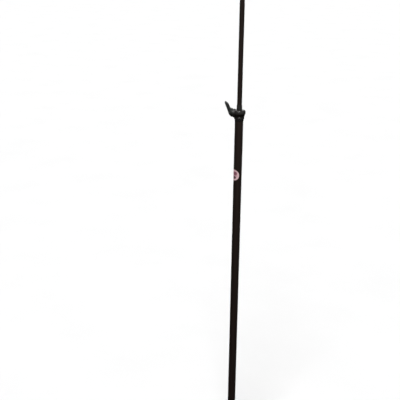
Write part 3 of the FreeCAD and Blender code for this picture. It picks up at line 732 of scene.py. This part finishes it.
def natural_nylon():
    """Uncoloured nylon: cream, waxy and faintly turned."""
    made, nodes, links, shader = material("natural_nylon")
    patch = noise(nodes, links, stretched(nodes, links), 110)
    grain = noise(nodes, links, stretched(nodes, links, (300, 300, 3000)), 1.0)
    links.new(between(nodes, links, patch, (0.50, 0.48, 0.42), (0.62, 0.60, 0.54)),
              shader.inputs["Base Color"])
    links.new(between(nodes, links, grain, 0.38, 0.55), shader.inputs["Roughness"])
    shader.inputs["Subsurface Weight"].default_value = 0.15
    shader.inputs["Subsurface Radius"].default_value = (0.002, 0.0018, 0.0014)
    bump(nodes, links, shader, grain, 0.01 * mm, 0.4)
    return made


nylon = natural_nylon()
refinish("glide_ring", nylon)
refinish("stop_collar", nylon)
refinish("guide_plug", aluminium)
refinish("guide_pin", steel)

# ---------------------------------------------------------------------------------------------
# Thin tube: drawn aluminium with the same black skin as the thick one. Its scratches are
# brighter, because it is the one that slides through the bush.

refinish("inner_tube", black_tube(
    "thin_tube_black", dark=(0.0036, 0.0018, 0.0016), light=(0.0050, 0.0026, 0.0023),
    scratch=(0.045, 0.040, 0.036), shine=0.52, seed=0.7,
))

# ---------------------------------------------------------------------------------------------
# Tip stud: turned steel, pinned in the thin tube's top. A flange closes the tube, and above it
# stands the 3/8 inch male thread, with a relief groove between the ring's turns and the clip's.

stud_low, stud_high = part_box("tip_stud")
shank = thin_radius - 1.0 * mm
flange_low = inner_high.z
flange_high = flange_low + 2.5 * mm
flange_rim = 7.5 * mm
crest = 4.7625 * mm
root = crest - thread_depth
relief = root - 0.1 * mm
relief_low = flange_high + 8.2 * mm
relief_high = relief_low + 1.0 * mm
run_out = 0.3 * mm
stud_rows = [
    round_row(shank - 0.4 * mm, stud_low.z),
    round_row(shank, stud_low.z + 0.4 * mm),
    round_row(shank, flange_low),
    round_row(flange_rim - 0.2 * mm, flange_low),
    round_row(flange_rim, flange_low + 0.2 * mm),
    round_row(flange_rim, flange_high - 0.4 * mm),
    round_row(flange_rim - 0.4 * mm, flange_high),
    round_row(root, flange_high),
]
stud_rows += threaded_rows(flange_high + 0.1 * mm, relief_low - run_out, root, crest, stud_pitch)
stud_rows += [round_row(relief, relief_low), round_row(relief, relief_high)]
stud_rows += threaded_rows(relief_high + run_out, stud_high.z - 0.5 * mm, root, crest,
                           stud_pitch, lead=1.2 * mm)
stud_rows += [round_row(root - 0.5 * mm, stud_high.z)]
stud = skin("tip_stud_turned", stud_rows, sharp=28)
finish(stud, steel, "plain_steel", "inner_pole", "tip_stud")
refinish("tip_pin", steel)

# ---------------------------------------------------------------------------------------------
# Lock ring and washer: a knurled ring in blackened brass runs on the stud's lower thread, and
# a rubber washer lies on it, so that it locks the clip without marking it.

lock_low, lock_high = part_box("tip_lock_ring")


def knurled_rows(low, high, radius, bore_radius, ribs, depth):
    """Rings of a short ring with straight ribs between chamfered edges."""
    sides = ribs * 6
    rise = high - low
    mouth_cut, shoulder = 0.3 * mm, radius - 0.9 * mm
    # each step: its share of the ring's height, and how many mm the chamfer takes off there
    steps = [(0.0, 0.8), (0.06, 0.4), (0.14, 0.0), (0.86, 0.0), (0.94, 0.4), (1.0, 0.8)]
    rows = [round_row(bore_radius + mouth_cut, low, sides), round_row(shoulder, low, sides)]
    for share, cut in steps:
        ring = []
        for side in range(sides):
            rib = 0.5 + 0.5 * math.cos(2 * math.pi * side * ribs / sides)
            here = radius - depth * (1 - rib) * (1 - cut) - cut * mm
            angle = 2 * math.pi * side / sides
            ring.append((here * math.cos(angle), here * math.sin(angle), low + rise * share))
        rows.append(ring)
    return rows + [
        round_row(shoulder, high, sides),
        round_row(bore_radius + mouth_cut, high, sides),
        round_row(bore_radius, high - mouth_cut, sides),
        round_row(bore_radius, low + mouth_cut, sides),
    ]


ring_rows = knurled_rows(lock_low.z, lock_high.z, lock_high.x, crest + 0.05 * mm,
                         ribs=48, depth=0.45 * mm)
lock_ring = skin("knurled_ring", ring_rows, closed=True)


def blackened_brass():
    """Brass, blackened and worn through on the knurl's crests."""
    made, nodes, links, shader = material("blackened_brass")
    patch = noise(nodes, links, stretched(nodes, links), 420)
    dark = between(nodes, links, patch, (0.018, 0.016, 0.014), (0.04, 0.035, 0.030))
    bare = between(nodes, links, patch, (0.32, 0.24, 0.12), (0.45, 0.34, 0.18))
    links.new(mixed(nodes, links, worn_edges(nodes, links, 0.56, 0.66), dark, bare),
              shader.inputs["Base Color"])
    links.new(between(nodes, links, patch, 0.3, 0.48), shader.inputs["Roughness"])
    shader.inputs["Metallic"].default_value = 0.85
    bump(nodes, links, shader, patch, 0.02 * mm, 0.3)
    return made


finish(lock_ring, blackened_brass(), "black_brass", "lock_ring", "tip_lock_ring")
washer_low, washer_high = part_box("tip_washer")
washer_hole = crest + 0.2 * mm
tip_washer = lathe("tip_washer_rubber", outline_of([
    (washer_hole, washer_low.z, 0.15 * mm),
    (washer_high.x, washer_low.z, 0.3 * mm),
    (washer_high.x, washer_high.z, 0.3 * mm),
    (washer_hole, washer_high.z, 0.15 * mm),
]))
finish(tip_washer, rubber, "foot_rubber", "washer_on_tip", "tip_washer")

# ---------------------------------------------------------------------------------------------
# Pressure shoe, clamping screw and washer. The nylon shoe is hollowed to the thin tube; the M8
# steel screw pushes it and is moulded into the lever; the washer lies under the lever's hub.

refinish("pressure_shoe", nylon)
refinish("clamp_screw", steel)
plate_low, plate_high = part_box("lever_washer")


def along_screw(points):
    """Turn points modelled upright round the Z axis onto the clamping screw's axis, towards -X."""
    return [(-height, side, screw_height + across) for across, side, height in points]


plate_inner, plate_outer = -plate_high.x, -plate_low.x
plate_radius = plate_high.y
screw_radius = 4.0 * mm
lead_in, bevel = 0.2 * mm, 0.25 * mm
plate = skin("lever_washer_plate", [along_screw(row) for row in (
    round_row(screw_radius, plate_inner + lead_in),
    round_row(screw_radius + lead_in, plate_inner),
    round_row(plate_radius - bevel, plate_inner),
    round_row(plate_radius, plate_inner + bevel),
    round_row(plate_radius, plate_outer - bevel),
    round_row(plate_radius - bevel, plate_outer),
    round_row(screw_radius, plate_outer),
)], closed=True)


def dull_zinc():
    """Zinc plate, darker and duller than the plain zinc steel, and lighter along its edges."""
    made, nodes, links, shader = material("dull_zinc")
    where = stretched(nodes, links)
    patch = noise(nodes, links, where, 240)
    rubbed = noise(nodes, links, where, 1500, 3.0)
    dark = between(nodes, links, patch, (0.085, 0.080, 0.075), (0.135, 0.128, 0.120))
    bare = between(nodes, links, rubbed, (0.20, 0.19, 0.18), (0.30, 0.29, 0.27))
    links.new(mixed(nodes, links, worn_edges(nodes, links), dark, bare),
              shader.inputs["Base Color"])
    links.new(between(nodes, links, rubbed, 0.42, 0.6), shader.inputs["Roughness"])
    shader.inputs["Metallic"].default_value = 0.5
    bump(nodes, links, shader, rubbed, 0.02 * mm, 0.4)
    return made


finish(plate, dull_zinc(), "plain_steel", "lever", "lever_washer")

# ---------------------------------------------------------------------------------------------
# Clamping lever: moulded in black glass-filled nylon round the screw's head. A domed hub, one
# arm that leans away from the pole, thumb-wide, with a rounded end, and a web between them.

hub_foot = -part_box("lever_handle")[1].x
hub_radius = 11.8 * mm
hub_rim = hub_foot - 0.6 * mm  # it laps the washer
hub_top = hub_foot + 10.0 * mm
hub_skin = outline_of([
    (0, hub_rim),
    (hub_radius, hub_rim, 0.8 * mm),
    (hub_radius, hub_foot + 1.6 * mm, 2.5 * mm),
    (9.9 * mm, hub_foot + 5.3 * mm, 1.0 * mm),
    (3.6 * mm, hub_top, 2.5 * mm),
    (0, hub_top),
])
lever = lathe("clamping_lever_moulding", hub_skin)
lay_over = Matrix.Rotation(math.radians(-90), 4, "Y")
lever.data.transform(Matrix.Translation((0, 0, screw_height)) @ lay_over)


def arm_section(outer, inner, width, sides=48, squarer=0.82):
    """An oval across the arm between a point of its outer face and one of its inner face."""
    middle = [(far + near) / 2 for far, near in zip(outer, inner)]
    reach = [(far - near) / 2 for far, near in zip(outer, inner)]
    points = []
    for side in range(sides):
        angle = 2 * math.pi * side / sides
        flat = math.copysign(abs(math.cos(angle)) ** squarer, math.cos(angle))
        wide = math.copysign(abs(math.sin(angle)) ** squarer, math.sin(angle)) * width
        out = middle[0] + reach[0] * flat
        up = middle[1] + reach[1] * flat
        points.append((out * mm, wide * mm, screw_height + up * mm))
    return points


# from the root to the tip, in mm: a point of the outer face and one of the inner face, each as
# (x, height above the screw), and half the arm's width there
arm_shape = [
    ((-25.5, -7.5), (-19.0, -5.5), 6.5), ((-28.8, 0.0), (-19.5, 3.0), 7.0),
    ((-30.8, 5.4), (-21.5, 9.3), 7.0), ((-32.7, 10.4), (-23.0, 12.2), 6.5),
    ((-34.5, 15.0), (-25.3, 16.8), 6.0), ((-36.6, 19.8), (-27.0, 21.2), 5.6),
    ((-38.0, 23.5), (-29.6, 24.8), 5.2), ((-38.5, 26.2), (-32.0, 27.2), 4.6),
    ((-38.3, 28.3), (-34.2, 28.7), 3.4), ((-37.3, 29.6), (-35.8, 29.6), 1.6),
]
arm = skin("arm", [arm_section(*section) for section in arm_shape])
web_shape = [(-19.4, 10.6), (-20.5, 11.3), (-22.7, 11.5), (-25.5, 13.8), (-27.0, 10.0),
             (-22.0, 6.0)]
web_half = 5.8 * mm
web = skin("web", [
    [(out * mm, side, screw_height + up * mm) for out, up in web_shape]
    for side in (-web_half, web_half)
])
combine(lever, [arm, web], "UNION")
cast_in_one(lever, voxel=0.3 * mm, passes=8)
seat_room = plate_radius + 0.1 * mm
grip_room, grip_depth = 4.8 * mm, 6.0 * mm
combine(lever, [
    bar_across("washer_seat", hub_foot - 2 * mm, hub_foot, screw_height, seat_room),
    bar_across("grip_socket", hub_foot - 1 * mm, hub_foot + grip_depth, screw_height, grip_room),
], "DIFFERENCE")
smooth(lever.data, sharp=40)
finish(lever, black_nylon("lever_nylon", (0.0095, 0.0105, 0.0095), (0.0165, 0.018, 0.0165)),
       "black_nylon", "lever", "lever_handle")

# ---------------------------------------------------------------------------------------------
# Studio: a pale floor, and a pale wall that only the camera sees. One broad soft light stands
# above and left of the camera and a weak one behind the pole; the surround that the pole
# mirrors darkens towards the ground, so that its black stays black.

studio_radius = 40


def grey(level):
    """A colour without a hue."""
    return (level, level, level)


floor_mesh = bmesh.new()
bmesh.ops.create_circle(floor_mesh, cap_ends=True, segments=96, radius=studio_radius)
floor = piece_from(floor_mesh, "floor")
pale, nodes, links, shader = material("pale_floor")
clouds = noise(nodes, links, stretched(nodes, links), 3.0)
links.new(between(nodes, links, clouds, grey(0.785), grey(0.805)), shader.inputs["Base Color"])
shader.inputs["Roughness"].default_value = 0.9
shader.inputs["Specular IOR Level"].default_value = 0.0
floor.data.materials.append(pale)
floor.visible_glossy = False
floor.visible_diffuse = False

wall_mesh = bmesh.new()
bmesh.ops.create_uvsphere(wall_mesh, u_segments=64, v_segments=32, radius=studio_radius)
wall = piece_from(wall_mesh, "wall")
lit, nodes, links, shader = material("pale_wall")
clouds = noise(nodes, links, stretched(nodes, links), 0.05)
links.new(between(nodes, links, clouds, grey(0.97), grey(1.0)), shader.inputs["Emission Color"])
shader.inputs["Emission Strength"].default_value = 1.03
shader.inputs["Base Color"].default_value = (0, 0, 0, 1)
shader.inputs["Specular IOR Level"].default_value = 0.0
wall.data.materials.append(lit)
wall.visible_glossy = False
wall.visible_diffuse = False
wall.visible_transmission = False
wall.visible_shadow = False

world = bpy.data.worlds.new("surround")
bpy.context.scene.world = world
world.use_nodes = True
nodes, links = world.node_tree.nodes, world.node_tree.links
ways = nodes.new("ShaderNodeTexCoord").outputs["Generated"]
split = nodes.new("ShaderNodeSeparateXYZ")
links.new(ways, split.inputs["Vector"])
# how bright each way is: 0 is straight down, 0.5 is level and 1 is straight up
height_share = worked_out(nodes, links, "MULTIPLY_ADD", split.outputs["Z"], 0.5, 0.5)
surround = nodes.new("ShaderNodeValToRGB")
links.new(height_share, surround.inputs["Fac"])
stops = surround.color_ramp.elements
for share, level in ((0.0, 0.004), (0.23, 0.006), (0.262, 0.035), (0.29, 0.065), (0.327, 0.12),
                     (0.379, 0.20), (0.42, 0.24), (0.5, 0.34), (0.7, 0.44), (1.0, 0.52)):
    stop = stops[0] if share == 0.0 else stops[-1] if share == 1.0 else stops.new(share)
    stop.color = (*grey(level), 1)
# the left and the back are screened off, so that the pole's edges stay dark
facing = nodes.new("ShaderNodeVectorMath")
facing.operation = "DOT_PRODUCT"
facing.inputs[1].default_value = (0.2, -0.45, 0.0)
links.new(ways, facing.inputs[0])
open_share = worked_out(nodes, links, "ADD", facing.outputs["Value"], 0.5)
screen = between(nodes, links, open_share, 0.30, 1.0, 0.2, 0.85)
backdrop = nodes["Background"]
links.new(multiplied(nodes, links, surround.outputs["Color"], screen), backdrop.inputs["Color"])
backdrop.inputs["Strength"].default_value = 1.0


def soft_sun(name, strength, spread, height, turn):
    """A distant broad light: its height above the horizon and its turn round from the front."""
    light = bpy.data.lights.new(name, "SUN")
    light.energy = strength
    light.angle = math.radians(spread)
    lamp = bpy.data.objects.new(name, light)
    bpy.context.scene.collection.objects.link(lamp)
    lamp.rotation_euler = (math.radians(90 - height), 0, math.radians(turn))


soft_sun("key_light", strength=3.6, spread=26, height=50, turn=-14)
soft_sun("back_light", strength=0.8, spread=45, height=20, turn=185)

camera = bpy.data.objects.new("camera", bpy.data.cameras.new("camera"))
camera.data.lens = 63
camera.data.sensor_width = 36
camera.data.clip_end = 5 * studio_radius
looks_down, leans = math.radians(20.27), math.radians(0.4535)
stand = Matrix.Translation((-0.1005, -1.789, 1.5097))
tilt = Matrix.Rotation(math.radians(90) - looks_down, 4, "X")
roll = Matrix.Rotation(leans, 4, "Z")
camera.matrix_world = stand @ tilt @ roll
bpy.context.scene.collection.objects.link(camera)
bpy.context.scene.camera = camera
bpy.context.scene.view_settings.view_transform = "Standard"
